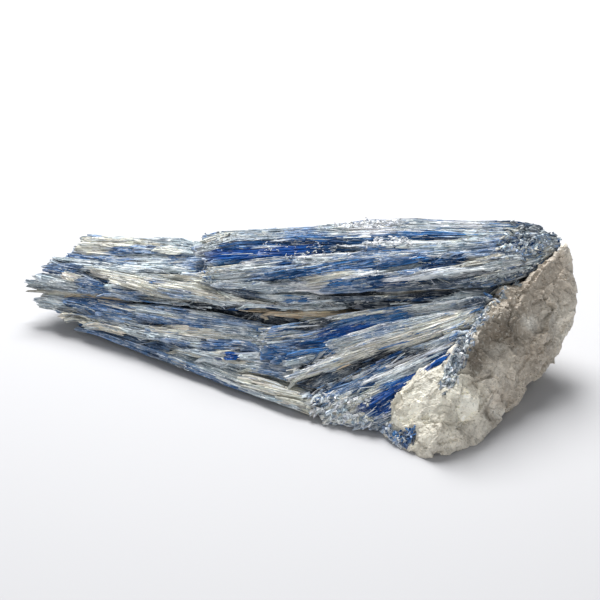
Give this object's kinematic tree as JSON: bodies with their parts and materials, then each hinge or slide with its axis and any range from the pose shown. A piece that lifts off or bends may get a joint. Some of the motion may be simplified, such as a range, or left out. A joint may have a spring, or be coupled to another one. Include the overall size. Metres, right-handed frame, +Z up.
{
  "type": "kyanite blade cluster",
  "caption": "Broken-out cluster of blue and grey kyanite blades fanning from a lump of vein quartz, lying flat.",
  "frame": {"origin": "on the resting plane, below the middle of the cluster's bounding box", "axes": "+X from the broken blade tips to the quartz, +Y to the back, +Z up"},
  "size_m": [0.1936, 0.1052, 0.0505],
  "materials": {
    "deep_blue_kyanite": "vitreous, pearly on the blade faces, finely striated",
    "grey_blue_kyanite": "weathered, silky, with cream and grey blades among the blue",
    "tan_kyanite": "dull, stained with iron oxide",
    "vein_quartz": "translucent, greasy on its fractures, cream to smoky grey"
  },
  "bodies": {
    "root": {"base_sheaf": "grey_blue_kyanite", "lower_sheaf": "grey_blue_kyanite", "wedged_blade": "tan_kyanite", "middle_sheaf": "grey_blue_kyanite", "upper_sheaf": "deep_blue_kyanite", "front_fan": "deep_blue_kyanite", "corner_fan": "deep_blue_kyanite", "quartz_matrix": "vein_quartz"}
  },
  "joints": []
}
